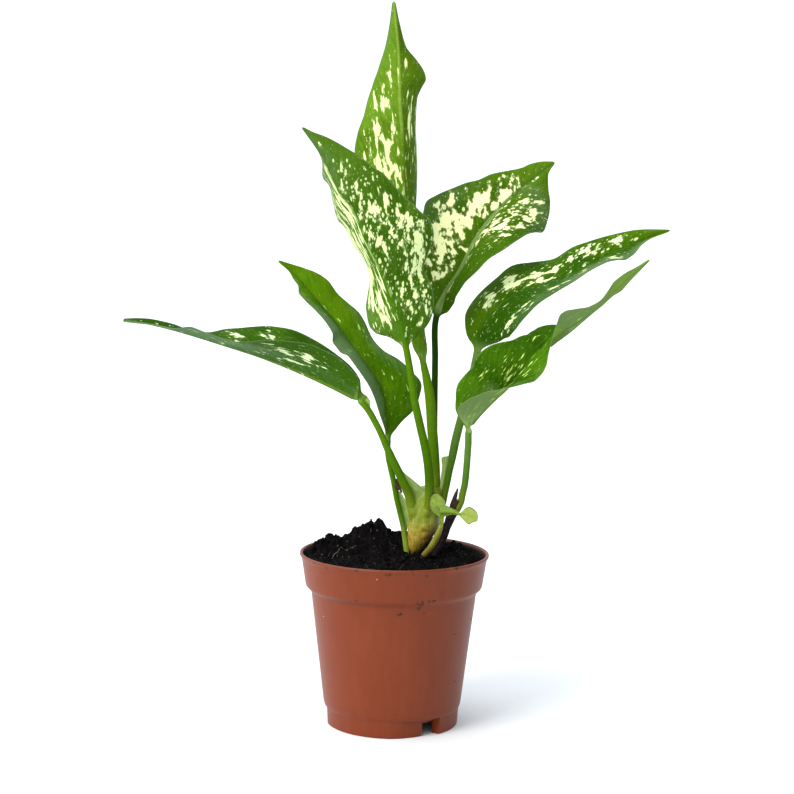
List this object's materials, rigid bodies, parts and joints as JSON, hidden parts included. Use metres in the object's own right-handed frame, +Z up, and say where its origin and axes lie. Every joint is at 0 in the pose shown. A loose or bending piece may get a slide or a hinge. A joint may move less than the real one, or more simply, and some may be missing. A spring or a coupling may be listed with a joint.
{
  "type": "potted chinese evergreen",
  "caption": "Free-standing potted foliage plant: long pointed variegated leaves on slender stalks rise from a short crown in dark peat, in a tapered nursery pot with a deep collar.",
  "frame": {"origin": "on the floor, under the middle of the pot's foot ring, which is also the middle of the part's bounding box in plan", "axes": "+Z up, -Y to the front as pictured, +X to the right of the picture"},
  "size_m": [0.262, 0.09, 0.34],
  "materials": {
    "pot": "satin",
    "soil": "matte",
    "crown": "satin",
    "leaf_top": "satin",
    "leaf_front": "satin",
    "leaf_back_right": "satin",
    "leaf_right_upper": "satin",
    "leaf_right_lower": "satin",
    "leaf_left_back": "satin",
    "leaf_left": "satin",
    "old_stem": "matte",
    "young_shoot": "satin",
    "dry_scale": "matte"
  },
  "bodies": {
    "root": {"pot": "pot", "soil": "soil", "crown": "crown", "leaf_top": "leaf_top", "leaf_front": "leaf_front", "leaf_back_right": "leaf_back_right", "leaf_right_upper": "leaf_right_upper", "leaf_right_lower": "leaf_right_lower", "leaf_left_back": "leaf_left_back", "leaf_left": "leaf_left", "old_stem": "old_stem", "young_shoot": "young_shoot", "dry_scale": "dry_scale"}
  },
  "joints": []
}
